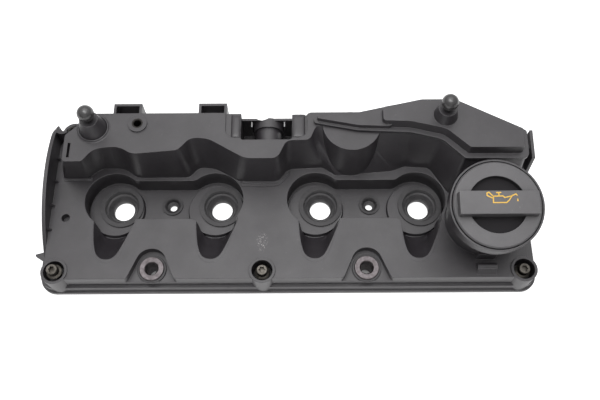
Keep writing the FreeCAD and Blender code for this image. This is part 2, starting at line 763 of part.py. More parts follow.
def tower_top(ball_z):
    return ball_z - math.sqrt(STUD_BALL_R ** 2 - STUD_NECK_R ** 2) - STUD_NECK_LENGTH


def cable_clip():
    """Holder for a cable: a back jaw, a rounded front bar and a ramp."""
    left = CABLE_X - CABLE_WIDTH / 2.0
    right = CABLE_X + CABLE_WIDTH / 2.0
    deck = DECK_TOP - 1.0
    jaw = box(left, right, CABLE_BACK - 2.5, CABLE_BACK + 4.0, deck, CABLE_TOP)
    bar = Part.makeCylinder(CABLE_BAR_R, CABLE_WIDTH, vector(left, CABLE_BAR_Y, CABLE_TOP - 8.0), vector(1, 0, 0))
    stem = box(left, right, CABLE_BAR_Y - 1.2, CABLE_BAR_Y + 1.2, deck, CABLE_TOP - 8.0)
    points = [vector(left, CABLE_BAR_Y - 2.0, deck), vector(left, DECK_FRONT + 1.5, deck),
              vector(left, CABLE_BAR_Y - 2.0, DECK_TOP + 3.0)]
    points.append(points[0])
    ramp = Part.Face(Part.makePolygon(points)).extrude(vector(CABLE_WIDTH, 0, 0))
    return [jaw, bar, stem, ramp]


def end_bracket():
    """Upright plate at the right end with its web and gusset."""
    left = BRACKET_X
    right = BRACKET_X + BRACKET_THICK
    middle = (BRACKET_FRONT + BRACKET_BACK) / 2.0
    points = [vector(left, BRACKET_FRONT, DECK_TOP), vector(left, BRACKET_BACK, DECK_TOP),
              vector(left, BRACKET_BACK, BRACKET_TOP), vector(left, BRACKET_FRONT + 3.0, BRACKET_TOP - 3.0)]
    points.append(points[0])
    plate = Part.Face(Part.makePolygon(points)).extrude(vector(BRACKET_THICK, 0, 0))
    web = box(DECK_RIGHT - 8.0, right, BRACKET_FRONT, BRACKET_BACK, DECK_TOP - WALL, DECK_TOP + 0.5)
    gusset_points = [vector(DECK_RIGHT - 6.0, middle, DECK_TOP), vector(right, middle, DECK_TOP),
                     vector(right, middle, BRACKET_TOP - 4.0), vector(DECK_RIGHT - 6.0, middle, DECK_TOP + 14.0)]
    gusset_points.append(gusset_points[0])
    gusset = Part.Face(Part.makePolygon(gusset_points)).extrude(vector(0, BRACKET_THICK, 0))
    return [plate, web, gusset]


def side_lug():
    """Small pointed lug low on the timing end."""
    points = [vector(RIM_X + 1.0, LUG_Y + 5.0, LUG_Z), vector(LUG_TIP_X, LUG_Y + 2.0, LUG_Z),
              vector(LUG_TIP_X + 1.0, LUG_Y, LUG_Z), vector(RIM_X + 1.0, LUG_Y - 6.0, LUG_Z)]
    points.append(points[0])
    return Part.Face(Part.makePolygon(points)).extrude(vector(0, 0, 3.0))


def injector_bosses():
    bosses = []
    for x in injector_places():
        place = vector(x + BOSS_SHIFT_X, BOSS_SHIFT_Y, WELL_FLOOR - 1.0)
        bosses.append(Part.makeCone(BOSS_R, BOSS_R - BOSS_TAPER, BOSS_TOP - WELL_FLOOR + 1.0, place))
    return bosses


def gasket_corners():
    return inset(flange_corners(), GASKET_INSET)


def window_corners():
    return inset(dome_corners(), WINDOW_INSET)


def fastener_voids():
    """Bores of the captive bolts, the big sleeves, the injector and clamp seals."""
    voids = []
    for name, x, y, top, lift in bolt_places():
        voids.append(disc(x, y, BORE_SEAT, UPPER_TOP + 5.0, BORE_R))
        voids.append(disc(x, y, BUSH_LOW, BORE_SEAT + 1.0, BUSH_BORE_R))
        voids.append(disc(x, y, -1.0, BUSH_LOW + 1.0, SLEEVE_R + FIT))
    for x in ALCOVE_X:
        voids.append(disc(x, ALCOVE_Y, BIG_BUSH_LOW, ALCOVE_FLOOR + 1.0, BIG_BUSH_BORE_R))
        voids.append(disc(x, ALCOVE_Y, -1.0, BIG_BUSH_LOW + 1.0, BIG_SLEEVE_R + FIT))
    for x in injector_places():
        voids.append(disc(x, 0.0, -1.0, BOSS_TOP + 1.0, SEAL_SEAT_R))
    for x in clamp_places():
        voids.append(disc(x, CLAMP_Y, -1.0, WELL_FLOOR + 1.0, CLAMP_SEAT_R))
    return voids


def slot_block(growth, low, high):
    """Block of the narrow slot near the timing end of the upper deck."""
    half = SLOT_WIDTH / 2.0 + growth
    return box(SLOT_X - half, SLOT_X + half, SLOT_FRONT - growth, SLOT_BACK + growth, low, high)


def deck_voids():
    """Blind hole and slot of the decks, and the stud and insert bores."""
    voids = [disc(BLIND_X, BLIND_Y, DECK_TOP - BLIND_DEPTH, DECK_TOP + 1.0, BLIND_R),
             slot_block(0.0, UPPER_TOP - SLOT_DEPTH, UPPER_TOP + 1.0),
             disc(INSERT_X, INSERT_Y, UPPER_TOP - INSERT_LENGTH, UPPER_TOP + 5.0, INSERT_R),
             disc(STUD_LEFT[0], STUD_LEFT[1], tower_top(STUD_LEFT_Z) - STUD_SHANK_LENGTH,
                  STUD_LEFT_Z, STUD_SHANK_R)]
    return voids


def cover_body():
    """The moulded cover: one open-bottomed shell with everything formed on it."""
    mass = joined([outer_mass(), valve_bulge(0.0, FLANGE_TOP, UPPER_TOP)])
    mass = without(mass, [front_groove()])
    space = without(inner_space(), kept_casings())
    shell = without(mass, [space])
    additions = [disc(x, y, 0.0, top, COLUMN_R) for name, x, y, top, lift in bolt_places()]
    additions += arched_rim() + back_loops() + cable_clip() + end_bracket() + [side_lug(), neck_outer()]
    additions.append(stud_tower(STUD_LEFT, UPPER_TOP - WALL, tower_top(STUD_LEFT_Z),
                                TOWER_LEFT_BASE_R, TOWER_LEFT_TOP_R))
    additions.append(disc(INSERT_X, INSERT_Y, UPPER_TOP - INSERT_LENGTH - 2.0,
                          UPPER_TOP + INSERT_BOSS_HEIGHT, INSERT_BOSS_R))
    additions.append(disc(STUD_LEFT[0], STUD_LEFT[1], UPPER_TOP - WALL - 4.0, UPPER_TOP, STUD_SHANK_R + WALL))
    shell = joined([shell] + additions)
    cuts = well_solids(WELL_FLOOR, DECK_TOP + 1.0, 0.0) + scoop_solids(0.0)
    shell = without(shell, cuts + [notch_void()])
    for x in ALCOVE_X:
        shell = without(shell, [prism(alcove_corners(x), ALCOVE_FLOOR, DECK_TOP + 1.0)])
    shell = without(shell, notch_steps(UPPER_TOP - STEP_DEPTH, UPPER_TOP + 1.0, 0.0))
    shell = joined([shell, breather_outlet()] + injector_bosses() + notch_webs())
    shell = without(shell, fastener_voids() + deck_voids() + [breather_bore()])
    shell = without(shell, [neck_void().common(neck_cut_height())])
    shell = without(shell, [disc(VALVE_X, VALVE_Y, VALVE_TUBE_BOTTOM - 1.0, VALVE_LEDGE, VALVE_BORE_R)])
    window = prism(window_corners(), UPPER_TOP - WALL - 1.0, UPPER_TOP + 1.0)
    shell = without(shell, [window.cut(valve_bulge(0.0, FLANGE_TOP, UPPER_TOP + 2.0))])
    groove = prism(gasket_corners(), -1.0, GASKET_DEPTH)
    groove = groove.cut(prism(inset(gasket_corners(), GASKET_WIDTH), -2.0, GASKET_DEPTH + 1.0))
    return without(shell, [groove])


def separator_hood():
    """Welded hood of the oil separator: lip, low and high domes and the right stud tower."""
    lip = prism(hood_corners(), UPPER_TOP, UPPER_TOP + HOOD_LIP)
    low = drafted(low_dome_corners(), UPPER_TOP, HOOD_LOW_TOP, HOOD_DRAFT / 2.0)
    high = drafted(dome_corners(), UPPER_TOP, HOOD_TOP, HOOD_DRAFT)
    top = tower_top(STUD_RIGHT_Z)
    tower = stud_tower(STUD_RIGHT, HOOD_TOP - HOOD_WALL, top, TOWER_RIGHT_BASE_R, TOWER_RIGHT_TOP_R)
    room = prism(inset(dome_corners(), HOOD_WALL + HOOD_DRAFT), UPPER_TOP - 1.0, HOOD_TOP - HOOD_WALL)
    post = disc(STUD_RIGHT[0], STUD_RIGHT[1], HOOD_TOP - HOOD_WALL - 2.0, HOOD_TOP, STUD_SHANK_R + HOOD_WALL)
    hood = joined([without(joined([lip, low, high]), [room]), tower, post])
    bore = disc(STUD_RIGHT[0], STUD_RIGHT[1], top - STUD_SHANK_LENGTH, top + 1.0, STUD_SHANK_R)
    return without(hood, [bore])


def separator_baffle():
    """Slotted plate under the hood that lies on the edge of the window in the deck."""
    corners = inset(dome_corners(), HOOD_WALL + HOOD_DRAFT + BAFFLE_GAP)
    plate = prism(corners, UPPER_TOP, UPPER_TOP + BAFFLE_THICK)
    slots = []
    for i in range(BAFFLE_SLOTS):
        x = STUD_RIGHT[0] - 25.0 + i * BAFFLE_SLOT_PITCH
        slots.append(box(x, x + BAFFLE_SLOT_WIDTH, VALVE_Y - BAFFLE_SLOT_LENGTH / 2.0,
                         VALVE_Y + BAFFLE_SLOT_LENGTH / 2.0, UPPER_TOP - 1.0, UPPER_TOP + BAFFLE_THICK + 1.0))
    return without(plate, slots)


def valve_housing():
    """Cup that clamps the diaphragm from below, with the outlet tube and four vents."""
    outer = VALVE_BORE_R - FIT
    rim = VALVE_LEDGE - DIAPHRAGM_THICK
    floor = VALVE_TUBE_BOTTOM + VALVE_CUP_FLOOR
    cup = disc(VALVE_X, VALVE_Y, VALVE_TUBE_BOTTOM, rim, outer)
    cup = without(cup, [disc(VALVE_X, VALVE_Y, floor, rim + 1.0, outer - VALVE_CUP_WALL)])
    tube_top = plate_bottom() - VALVE_TRAVEL - SOFT_GAP
    cup = joined([cup, disc(VALVE_X, VALVE_Y, floor - 1.0, tube_top, OUTLET_R + OUTLET_WALL)])
    holes = [disc(VALVE_X, VALVE_Y, VALVE_TUBE_BOTTOM - 1.0, tube_top + 1.0, OUTLET_R)]
    for side in range(4):
        angle = math.radians(45.0 + 90.0 * side)
        reach = VALVE_BORE_R * 0.66
        holes.append(disc(VALVE_X + reach * math.cos(angle), VALVE_Y + reach * math.sin(angle),
                          VALVE_TUBE_BOTTOM - 1.0, floor + 1.0, 2.5))
    return without(cup, holes)


def plate_bottom():
    return VALVE_LEDGE - DIAPHRAGM_THICK - DIAPHRAGM_DROP - PLATE_THICK


def valve_diaphragm():
    """Rubber disc with a clamped rim and a fold down to its middle."""
    top = VALVE_LEDGE
    middle = top - DIAPHRAGM_DROP
    rim_r = VALVE_BORE_R - FIT - VALVE_CUP_WALL
    fold_r = PLATE_R + 1.5
    thick = DIAPHRAGM_THICK
    profile = [(0.0, middle - thick), (fold_r, middle - thick), (rim_r - 1.0, top - thick),
               (VALVE_BORE_R - FIT, top - thick), (VALVE_BORE_R - FIT, top), (rim_r - 1.5, top),
               (fold_r - 0.5, middle), (0.0, middle)]
    return turned(profile, VALVE_X, VALVE_Y)


def valve_plate():
    return disc(VALVE_X, VALVE_Y, plate_bottom(), plate_bottom() + PLATE_THICK, PLATE_R)


def valve_spring():
    """Compression spring round the outlet tube, under the plate, of a wire with flat facets."""
    low = VALVE_TUBE_BOTTOM + VALVE_CUP_FLOOR + SPRING_WIRE_R
    high = plate_bottom() - SPRING_WIRE_R
    helix = Part.makeHelix((high - low) / SPRING_TURNS, high - low, SPRING_R)
    helix.translate(vector(VALVE_X, VALVE_Y, low))
    section = []
    for i in range(SPRING_WIRE_SIDES):
        angle = 2.0 * math.pi * i / SPRING_WIRE_SIDES
        section.append(vector(VALVE_X + SPRING_R + SPRING_WIRE_R * math.cos(angle), VALVE_Y,
                              low + SPRING_WIRE_R * math.sin(angle)))
    section.append(section[0])
    return Part.Wire(helix.Edges).makePipeShell([Part.makePolygon(section)], True, True)


def perimeter_gasket():
    """Rubber ring in the flange groove that stands a little proud of it."""
    outer = prism(inset(gasket_corners(), GASKET_GAP), -GASKET_STAND, GASKET_DEPTH)
    inner = prism(inset(gasket_corners(), GASKET_WIDTH - GASKET_GAP), -GASKET_STAND - 1.0, GASKET_DEPTH + 1.0)
    return without(outer, [inner])


def injector_seal(x):
    """Funnel-shaped lip seal of one injector, with a flat rim on the boss."""
    rim_top = BOSS_TOP + SEAL_RIM_HEIGHT
    seat = SEAL_SEAT_R - FIT
    step = BOSS_TOP - SEAL_STEP_DEPTH
    profile = [(INJECTOR_BORE_R, 0.0), (seat, 0.0), (seat, BOSS_TOP), (SEAL_RIM_R, BOSS_TOP),
               (SEAL_RIM_R, rim_top), (SEAL_MOUTH_R, rim_top), (SEAL_MOUTH_R - 0.6, step + 0.6),
               (SEAL_STEP_R + 0.6, step), (SEAL_STEP_R, step - 0.6),
               (INJECTOR_BORE_R + 1.2, SEAL_LIP_HEIGHT + 0.8), (INJECTOR_BORE_R, SEAL_LIP_HEIGHT)]
    return turned(profile, x, 0.0)


def clamp_bolt_seal(x):
    rim_top = WELL_FLOOR + CLAMP_RIM_HEIGHT
    seat = CLAMP_SEAT_R - FIT
    profile = [(CLAMP_BORE_R, 0.0), (seat, 0.0), (seat, WELL_FLOOR), (CLAMP_RIM_R, WELL_FLOOR),
               (CLAMP_RIM_R, rim_top), (CLAMP_MOUTH_R + 1.0, rim_top), (CLAMP_MOUTH_R, rim_top - 0.8),
               (CLAMP_MOUTH_R - 0.8, 5.0), (CLAMP_BORE_R, 4.0)]
    return turned(profile, x, CLAMP_Y)


def sleeve_top():
    return BORE_SEAT + BUSH_FLANGE_HEIGHT + SLEEVE_STAND


def bolt_bush(x, y):
    """Rubber bush that holds a bolt's sleeve in the cover."""
    inner = SLEEVE_R + FIT
    outer = BUSH_BORE_R - FIT
    flange_top = BORE_SEAT + BUSH_FLANGE_HEIGHT
    profile = [(inner, BUSH_LOW), (outer, BUSH_LOW), (outer, BORE_SEAT), (BUSH_FLANGE_R, BORE_SEAT),
               (BUSH_FLANGE_R, flange_top - 0.5), (BUSH_FLANGE_R - 0.5, flange_top), (inner, flange_top)]
    return turned(profile, x, y)


def bolt_sleeve(x, y):
    top = sleeve_top()
    profile = [(SLEEVE_BORE_R, 0.0), (SLEEVE_R, 0.0), (SLEEVE_R, top - 0.4), (SLEEVE_R - 0.4, top),
               (SLEEVE_BORE_R, top)]
    return turned(profile, x, y)


def captive_bolt(x, y, lift):
    """Flange bolt with a star socket, lifted above its seat as it lies on a table."""
    seat = sleeve_top() + lift
    tip = seat - (sleeve_top() + BOLT_LIFT + GASKET_STAND - 0.1)
    top = seat + BOLT_FLANGE_HEIGHT + BOLT_HEAD_HEIGHT
    flange_top = seat + BOLT_FLANGE_HEIGHT
    profile = [(0.0, tip), (SHANK_R - 0.8, tip), (SHANK_R, tip + 0.8), (SHANK_R, seat),
               (BOLT_FLANGE_R, seat), (BOLT_FLANGE_R, seat + 0.6), (BOLT_HEAD_R, flange_top),
               (BOLT_HEAD_R, top - 0.5), (BOLT_HEAD_R - 0.5, top), (0.0, top)]
    star = []
    for i in range(12):
        reach = BOLT_SOCKET_R if i % 2 == 0 else BOLT_SOCKET_R * 0.74
        angle = math.radians(30.0 * i)
        star.append((x + reach * math.cos(angle), y + reach * math.sin(angle), 0.0))
    return without(turned(profile, x, y), [prism(star, top - BOLT_SOCKET_DEPTH, top + 1.0)])


def sleeve_bush(x):
    """Rubber bush of one large sleeve."""
    inner = BIG_SLEEVE_R + FIT
    outer = BIG_BUSH_BORE_R - FIT
    top = ALCOVE_FLOOR + BIG_BUSH_FLANGE
    profile = [(inner, BIG_BUSH_LOW), (outer, BIG_BUSH_LOW), (outer, ALCOVE_FLOOR),
               (BIG_BUSH_R, ALCOVE_FLOOR), (BIG_BUSH_R, top - 0.4), (BIG_BUSH_R - 0.4, top), (inner, top)]
    return turned(profile, x, ALCOVE_Y)


def flanged_sleeve(x):
    """Large steel sleeve with a flange and a chamfered mouth."""
    seat = ALCOVE_FLOOR + BIG_BUSH_FLANGE
    top = seat + BIG_SLEEVE_FLANGE
    profile = [(BIG_SLEEVE_BORE_R, 0.0), (BIG_SLEEVE_R, 0.0), (BIG_SLEEVE_R, seat),
               (BIG_SLEEVE_FLANGE_R, seat), (BIG_SLEEVE_FLANGE_R, top - 0.5),
               (BIG_SLEEVE_FLANGE_R - 0.5, top), (BIG_SLEEVE_BORE_R + 0.8, top),
               (BIG_SLEEVE_BORE_R, top - 0.8)]
    return turned(profile, x, ALCOVE_Y)


def ball_stud(place, ball_z):
    """Ball on a waisted neck and a shank pressed into its tower."""
    top = tower_top(ball_z)
    ball = Part.makeSphere(STUD_BALL_R, vector(place[0], place[1], ball_z))
    neck = disc(place[0], place[1], top, ball_z, STUD_NECK_R)
    shank = disc(place[0], place[1], top - STUD_SHANK_LENGTH + 0.5, top, STUD_SHANK_R - FIT)
    return joined([ball, neck, shank])


def filler_cap():
    """Cap with a grip across a round recess, a barrel below and two bayonet lugs."""
    under = CAP_Z - CAP_THICK
    profile = [(0.0, under), (CAP_R, under), (CAP_R, CAP_Z - CAP_EDGE), (CAP_R - CAP_EDGE, CAP_Z),
               (0.0, CAP_Z)]
    cap = turned(profile, CAP_X, CAP_Y)
    cap = without(cap, [disc(CAP_X, CAP_Y, CAP_Z - CAP_RECESS_DEPTH, CAP_Z + 1.0, CAP_RECESS_R)])
    half_length = GRIP_LENGTH / 2.0
    half_width = GRIP_WIDTH / 2.0
    corners = [(CAP_X - half_length, CAP_Y - half_width, 1.5), (CAP_X + half_length, CAP_Y - half_width, 1.5),
               (CAP_X + half_length, CAP_Y + half_width, 1.5), (CAP_X - half_length, CAP_Y + half_width, 1.5)]
    grip = drafted(corners, CAP_Z - CAP_RECESS_DEPTH - 0.5, CAP_Z + GRIP_HEIGHT, GRIP_TAPER)
    barrel_r = NECK_LIP_R - CAP_BARREL_GAP
    barrel = disc(CAP_X, CAP_Y, under - CAP_BARREL_LENGTH, under, barrel_r)
    barrel = without(barrel, [disc(CAP_X, CAP_Y, under - CAP_BARREL_LENGTH - 1.0, under,
                                   barrel_r - CAP_BARREL_WALL)])
    lug_top = cup_floor() - NECK_LIP_HEIGHT - LUG_GAP
    lugs = [lug_sector(side, lug_top - LUG_HEIGHT, lug_top, LUG_ANGLE, LUG_REACH) for side in (0.0, 180.0)]
    return leaned(joined([cap, grip, barrel] + lugs))


def filler_cap_seal():
    under = CAP_Z - CAP_THICK
    ring = disc(CAP_X, CAP_Y, under - CAP_SEAL_HEIGHT, under, CAP_SEAL_OUT_R)
    return leaned(without(ring, [disc(CAP_X, CAP_Y, under - CAP_SEAL_HEIGHT - 1.0, under + 1.0, CAP_SEAL_IN_R)]))


def threaded_insert():
    """Metal insert with a chamfered mouth, in its round boss on the upper deck."""
    top = UPPER_TOP + INSERT_BOSS_HEIGHT
    low = UPPER_TOP - INSERT_LENGTH
    outer = INSERT_R - FIT
    profile = [(INSERT_BORE_R, low), (outer, low), (outer, top), (INSERT_BORE_R + 0.6, top),
               (INSERT_BORE_R, top - 0.6)]
    return turned(profile, INSERT_X, INSERT_Y)


def breather_clip():
    """Sprung locking clip that hugs the outlet's collar from below."""
    z = port_axis_z()
    inner = PORT_COLLAR_R + SOFT_GAP
    outer = inner + CLIP_THICK
    start = UPPER_BACK - PORT_COLLAR_LENGTH + CLIP_SETBACK
    along = vector(0, 1, 0)
    ring = Part.makeCylinder(outer, CLIP_WIDTH, vector(PORT_X, start, z), along)
    ring = ring.common(box(PORT_X - outer, PORT_X + outer, start, start + CLIP_WIDTH, z - outer, z))
    legs = box(PORT_X - outer, PORT_X + outer, start, start + CLIP_WIDTH, z, z + CLIP_LEG)
    clip = joined([ring, legs])
    round_room = Part.makeCylinder(inner, CLIP_WIDTH + 2.0, vector(PORT_X, start - 1.0, z), along)
    leg_room = box(PORT_X - inner, PORT_X + inner, start - 1.0, start + CLIP_WIDTH + 1.0, z, z + CLIP_LEG + 1.0)
    return without(clip, [round_room, leg_room])


def all_pieces():
    """Every separate piece by its name."""
    pieces = {"cover_body": cover_body(), "separator_hood": separator_hood(),
              "separator_baffle": separator_baffle(), "valve_housing": valve_housing(),
              "valve_diaphragm": valve_diaphragm(), "valve_plate": valve_plate(),
              "valve_spring": valve_spring(), "perimeter_gasket": perimeter_gasket(),
              "filler_cap": filler_cap(), "filler_cap_seal": filler_cap_seal(),
              "ball_stud_left": ball_stud(STUD_LEFT, STUD_LEFT_Z),
              "ball_stud_right": ball_stud(STUD_RIGHT, STUD_RIGHT_Z),
              "threaded_insert": threaded_insert(), "breather_clip": breather_clip()}
    for number, x in enumerate(injector_places(), start=1):
        pieces["injector_seal_%d" % number] = injector_seal(x)
    for number, x in enumerate(clamp_places(), start=1):
        pieces["clamp_bolt_seal_%d" % number] = clamp_bolt_seal(x)
    for name, x, y, top, lift in bolt_places():
        pieces["captive_bolt_" + name] = captive_bolt(x, y, lift)
        pieces["bolt_sleeve_" + name] = bolt_sleeve(x, y)
        pieces["bolt_bush_" + name] = bolt_bush(x, y)
    for name, x in zip(("left", "right"), ALCOVE_X):
        pieces["flanged_sleeve_" + name] = flanged_sleeve(x)
        pieces["sleeve_bush_" + name] = sleeve_bush(x)
    return pieces


def main():
    os.makedirs("parts", exist_ok=True)
    for name, shape in all_pieces().items():
        print(name, shape.isValid(), len(shape.Solids), round(shape.Volume / 1000.0, 3))
        shape.exportStep("parts/" + name + ".step")


main()
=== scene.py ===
import math

import bmesh
import bpy
from mathutils import Matrix, Vector


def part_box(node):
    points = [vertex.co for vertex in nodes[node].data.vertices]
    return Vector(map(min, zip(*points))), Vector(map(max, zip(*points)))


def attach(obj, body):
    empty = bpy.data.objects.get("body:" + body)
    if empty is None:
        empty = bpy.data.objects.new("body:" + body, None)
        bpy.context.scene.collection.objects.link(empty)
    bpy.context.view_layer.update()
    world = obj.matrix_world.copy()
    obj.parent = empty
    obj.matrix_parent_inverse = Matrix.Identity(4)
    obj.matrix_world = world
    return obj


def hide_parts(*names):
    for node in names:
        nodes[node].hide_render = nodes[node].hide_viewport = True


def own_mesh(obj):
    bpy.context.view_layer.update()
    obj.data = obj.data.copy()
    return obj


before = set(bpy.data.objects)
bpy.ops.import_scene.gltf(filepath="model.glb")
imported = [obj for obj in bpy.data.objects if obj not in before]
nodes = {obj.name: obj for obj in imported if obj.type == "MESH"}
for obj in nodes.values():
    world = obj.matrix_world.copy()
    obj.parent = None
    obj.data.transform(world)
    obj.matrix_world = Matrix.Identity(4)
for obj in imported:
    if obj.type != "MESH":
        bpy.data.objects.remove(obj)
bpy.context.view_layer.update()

MM = 0.001
scene = bpy.context.scene
scene.view_settings.view_transform = "Standard"

# camera: the photograph's angle, fitted to the injector bores, the cap and the flange corners
TILT = math.radians(23.7)
ROLL = math.radians(-0.32)
EYE = Vector((0.158, -0.2511, 0.5992))
SENSOR_WIDTH = 36.0
FOCAL_LENGTH = 43.02
CLIP_START = 0.01
CLIP_END = 20.0

# the floor, just under the flange, and how bright it shows to the camera and in reflections
FLOOR_HALF = 3.0
FLOOR_Z = -0.0009
FLOOR_COLOUR = (0.80, 0.80, 0.80, 1.0)
FLOOR_GLOW = 0.82

# painted shadow under the two large sleeves: the floor's glow is taken away there, in mm
SLEEVE_SHADOWS = ((32.5, -52.0), (214.0, -52.0))
SLEEVE_SHADOW_R = 15.0
SLEEVE_SHADOW_SOFT = 2.0

# the world: white to the camera, for other rays brightest above and behind
SKY_UP = (0.0, 0.36, 0.93)
SKY_SLOPE = (-0.25, 0.80)
SKY_DARKEST = 0.10
SKY_DIFFUSE = 0.42
SKY_GLOSSY = 0.95

# lamps: name, place, target, size and power
LAMPS = (("top_back", (0.18, 0.48, 1.20), (0.15, 0.0, 0.02), (1.2, 0.8), 3.9),
         ("overhead", (0.10, -0.10, 1.25), (0.15, 0.0, 0.02), (0.9, 0.5), 6.6),
         ("front", (0.10, -1.0, 0.42), (0.14, -0.05, 0.02), (1.0, 0.5), 0.8))

# sockets of the Mix node when it mixes colours
MIX_FACTOR, MIX_FIRST, MIX_SECOND, MIX_RESULT = 0, 6, 7, 2

# what the materials share
EDGE_LEAN = (0.995, 0.80)
# painted shade in hollows: ambient occlusion up to the first value gives it in full, from the second on not at
# all
HOLLOW_LIGHT = (0.35, 0.85)
SHEEN_CUT = (0.3, 0.7)
# painted shade: the colour that hollows are darkened to
HOLLOW_SHADE_COLOUR = (0.012, 0.011, 0.012)
SCUFFED = (0.42, 0.40, 0.40)
WORN_INK = (0.22, 0.15, 0.05)

# the filler's leaning axis, as in the part, and the grip's top over its middle
CAP_PLACE = Vector((312.5, -30.0, 85.0)) * MM
CAP_TURN = Matrix.Rotation(math.radians(9.0), 3, "X")
GRIP_HEIGHT = 7.0

# the cap's round recess, darkened as painted shade: where the painted shade is full and where it ends, across
# and along the axis, in mm
RECESS_R = (23.6, 24.2)
RECESS_DEPTH = (-1.6, -1.0)

# the sign on the grip: width of each stroke, whether it closes, and its plan path in mm
SIGN_SUNK = 0.05
SIGN_PROUD = 0.12
SIGN_STROKES = (
    (0.9, True, ((-5.1, 4.7), (-5.3, -0.4), (4.9, -0.4), (7.0, 1.5), (9.4, 4.9), (3.7, 3.6), (2.3, 4.9))),
    (0.9, False, ((-5.1, 4.6), (-8.3, 7.9), (-9.8, 7.3), (-9.9, 5.3), (-5.2, 3.0))),
    (0.9, False, ((9.0, 4.9), (12.5, 6.4), (13.6, 5.1))),
    (1.0, False, ((-2.7, 7.6), (1.2, 7.6))),
    (0.9, False, ((-0.7, 7.3), (-0.7, 5.0))))
SIGN_DROP = ((13.6, 3.3), (13.0, 1.3), (13.3, 0.6), (14.0, 0.6), (14.3, 1.3))

# heights of the part that the scene's own pieces stand on, and the pitch of its wells, in mm
DECK_TOP = 28.0
STEP_TOP = 70.2
UPPER_TOP = 72.0
WELL_PITCH = 88.0

# the scuffed patch on the lower deck: its middle and half its size, in mm
SCUFF_PLACE = (125.6, -39.0, 28.0)
SCUFF_SIZE = (5.5, 10.5, 4.0)

# ribbons: the sharpest mitre, and the steps of a rounded corner
MITRE_LIMIT = 0.45
ARC_STEPS = 6

# the lip on the deck, step by step: width, bottom and top over the deck, path (x, y, corner radius)
LIP_STEPS = (
    (5.2, -0.4, 0.8, ((106.8, 15.7, 0.0), (111.0, 15.5, 10.0), (138.4, 15.4, 9.0), (147.2, 26.2, 0.0))),
    (3.0, 0.4, 1.7, ((107.6, 16.8, 0.0), (111.0, 16.7, 10.0), (138.8, 16.6, 8.0), (147.6, 27.2, 0.0))),
    (3.4, -0.4, 0.8, ((-49.6, 20.6, 0.0), (-24.6, 20.6, 0.0))),
    (2.2, 0.4, 1.7, ((-49.2, 21.2, 0.0), (-25.4, 21.2, 0.0))))

# a scoop's lining: outer edge and foot in plan from its well, heights in mm, and how its wall bends
SCOOP_EDGE = ((-19.0, -23.4), (-18.2, -33.0), (-16.8, -42.0), (-14.4, -49.2), (-10.4, -53.0), (-5.6, -54.0),
              (-1.0, -53.0), (2.9, -49.2), (6.2, -42.8), (9.4, -35.6), (12.2, -28.8), (14.2, -24.0))
SCOOP_FOOT = ((-15.1, -23.4), (-14.0, -25.4), (-12.2, -26.8), (-10.0, -27.6), (-7.4, -28.1), (-4.8, -28.2),
              (-2.0, -28.0), (0.8, -27.4), (3.4, -26.4), (5.8, -25.0), (8.0, -23.3), (9.8, -21.5))
SCOOP_POINTS = 34
SCOOP_ROWS = 8
SCOOP_TOP = DECK_TOP + 0.04
SCOOP_LOW = 8.4
SCOOP_UNDER = 7.6
SCOOP_SUNK = 0.5
SCOOP_BEND = 1.12
SCOOP_BORDER = 0.5
SCOOP_TIP_BORDER = 2.7
SCOOP_SHARP = math.radians(32.0)

# the beads beside the notch, in mm
SHOULDER_FRONT = 37.8
SHOULDER_BACK = 60.4
SHOULDER_FOOT = STEP_TOP - 0.2
SHOULDER_CROWN = 2.1
SHOULDER_END_ROWS = (0.0, 0.4, 1.2, 2.6, 5.0)
SHOULDER_SIDES = 10

# the foot of the left stud tower, in mm
TOWER_PLACE = (-15.2, 46.8)
TOWER_R = 12.5
TOWER_FLARE = 1.6
TOWER_OVERLAP = 0.8
TOWER_SUNK = 0.3
TOWER_EDGE = 0.15
TOWER_SKIRT = 0.25
TOWER_STEPS = 64
FLARE_STEPS = 5

# the valve's spring, in mm
SPRING_WIRE_R = 0.6
SPRING_TURNS = 4
COIL_STEPS = 28
WIRE_SIDES = 10


def make_camera():
    data = bpy.data.cameras.new("photo_camera")
    data.sensor_width = SENSOR_WIDTH
    data.lens = FOCAL_LENGTH
    data.clip_start = CLIP_START
    data.clip_end = CLIP_END
    camera = bpy.data.objects.new("photo_camera", data)
    turn = Matrix.Rotation(TILT, 4, "X") @ Matrix.Rotation(ROLL, 4, "Z")
    camera.matrix_world = Matrix.Translation(EYE) @ turn
    scene.collection.objects.link(camera)
    scene.camera = camera


def area_light(name, place, target, size, power):
    data = bpy.data.lights.new(name, "AREA")
    data.shape = "RECTANGLE"
    data.size, data.size_y = size
    data.energy = power
    light = bpy.data.objects.new(name, data)
    aim = (Vector(target) - Vector(place)).to_track_quat("-Z", "Y")
    light.matrix_world = Matrix.Translation(Vector(place)) @ aim.to_matrix().to_4x4()
    scene.collection.objects.link(light)


def feed(tree, target, value):
    """Link an input to another node's output, or give it a fixed value."""
    if isinstance(value, bpy.types.NodeSocket):
        tree.links.new(value, target)
    else:
        target.default_value = value


def node(tree, kind, **inputs):
    """A new node; an underscore in an input's name stands for a space."""
    made = tree.nodes.new(kind)
    for name, value in inputs.items():
        feed(tree, made.inputs[name.replace("_", " ")], value)
    return made


def calculate(tree, operation, first, second):
    made = tree.nodes.new("ShaderNodeMath")
    made.operation = operation
    feed(tree, made.inputs[0], first)
    feed(tree, made.inputs[1], second)
    return made.outputs[0]


def vector_math(tree, operation, first, second=None, output="Value"):
    made = tree.nodes.new("ShaderNodeVectorMath")
    made.operation = operation
    feed(tree, made.inputs[0], first)
    if second is not None:
        feed(tree, made.inputs[1], second)
    return made.outputs[output]


def shader(name):
    """A new material with its node tree and its Principled shader."""
    material = bpy.data.materials.new(name)
    material.use_nodes = True
    tree = material.node_tree
    return material, tree, tree.nodes["Principled BSDF"]


def object_place(tree):
    return tree.nodes.new("ShaderNodeTexCoord").outputs["Object"]


